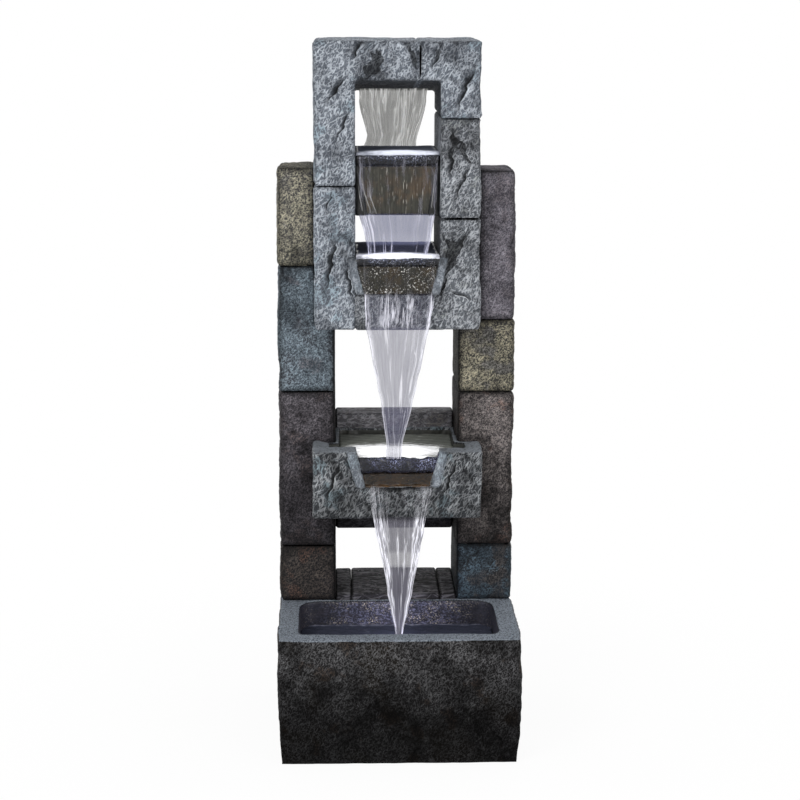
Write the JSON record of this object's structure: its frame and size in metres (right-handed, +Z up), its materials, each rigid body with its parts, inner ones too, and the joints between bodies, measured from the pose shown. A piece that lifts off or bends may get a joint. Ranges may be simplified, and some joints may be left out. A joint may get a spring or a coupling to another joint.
{
  "type": "tabletop water fountain",
  "caption": "Stacked-stone cascade fountain: two block columns carry a stone frame with two lit bowls, a wide tray below and a basin at the foot, with a pump, a riser hose and lamps inside.",
  "frame": {"origin": "middle of the footprint, on the floor, under the basin", "axes": "+Z up, the longest extent; -Y to the front, where the basin is; +X to the viewer's right"},
  "size_m": [0.34, 0.336, 1],
  "materials": {
    "basin_stone": "cast resin, charcoal with grey dry brushing, fading to black at the foot",
    "ochre_stone": "cast resin, pitted, olive ochre with gold flecks",
    "blue_stone": "cast resin, pitted, slate blue",
    "umber_stone": "cast resin, pitted, dark purple brown",
    "rust_stone": "cast resin, pitted, brown with rust flecks",
    "violet_stone": "cast resin, pitted, violet grey",
    "sill_stone": "cast resin, dark split plank",
    "frame_stone": "cast resin, split slate, blue grey",
    "tray_stone": "cast resin, split slate, blue grey",
    "bowl_stone": "cast resin, dark, wet",
    "trough_cast": "plain dark cast resin",
    "pump_black": "moulded ABS, fine texture",
    "pump_dial": "moulded ABS",
    "impeller_grey": "moulded over a ferrite magnet",
    "shaft_ceramic": "ground shaft",
    "black_rubber": "moulded rubber",
    "hose_vinyl": "clear vinyl",
    "clip_steel": "stainless band",
    "lamp_black": "moulded ABS",
    "lamp_lens": "clear domed lens"
  },
  "bodies": {
    "fountain": {"basin": "basin_stone", "bowl_middle": "bowl_stone", "bowl_upper": "bowl_stone", "cable_gland": "black_rubber", "frame_stone_bottom": "frame_stone", "frame_stone_left": "frame_stone", "frame_stone_right": "frame_stone", "frame_stone_top_left": "frame_stone", "frame_stone_top_right": "frame_stone", "hose_clip": "clip_steel", "lamp_housing_basin": "lamp_black", "lamp_housing_middle": "lamp_black", "lamp_housing_tray": "lamp_black", "lamp_housing_upper": "lamp_black", "lamp_lead_basin": "black_rubber", "lamp_lead_middle": "black_rubber", "lamp_lead_tray": "black_rubber", "lamp_lead_upper": "black_rubber", "lamp_lens_basin": "lamp_lens", "lamp_lens_middle": "lamp_lens", "lamp_lens_tray": "lamp_lens", "lamp_lens_upper": "lamp_lens", "lead_grommets": "black_rubber", "lead_splitter": "lamp_black", "left_block_a": "ochre_stone", "left_block_b": "blue_stone", "left_block_c": "umber_stone", "left_block_d": "rust_stone", "pump_intake_cover": "pump_black", "pump_motor_housing": "pump_black", "pump_shaft": "shaft_ceramic", "pump_volute": "pump_black", "rear_beam": "sill_stone", "right_block_a": "violet_stone", "right_block_b": "ochre_stone", "right_block_c": "rust_stone", "right_block_d": "blue_stone", "riser_hose": "hose_vinyl", "shaft_bush_front": "black_rubber", "shaft_bush_rear": "black_rubber", "sill_left": "sill_stone", "sill_right": "sill_stone", "suction_feet": "black_rubber", "top_trough": "trough_cast", "tray": "tray_stone"},
    "impeller": {"impeller": "impeller_grey"},
    "flow_dial": {"flow_dial": "pump_dial"},
    "pump_lid": {"pump_lid": "sill_stone"}
  },
  "joints": [
    {"name": "impeller_spin", "type": "hinge", "parent": "fountain", "child": "impeller", "pos_m": [0.103, 0.096, 0.062], "axis": [1, 0, 0], "continuous": true},
    {"name": "flow_dial_turn", "type": "hinge", "parent": "fountain", "child": "flow_dial", "pos_m": [0.1265, 0.096, 0.062], "axis": [1, 0, 0], "range_deg": [0, 90]},
    {"name": "pump_lid_lift", "type": "slide", "parent": "fountain", "child": "pump_lid", "axis": [0, 0, 1], "range_m": [0, 0.075]}
  ]
}
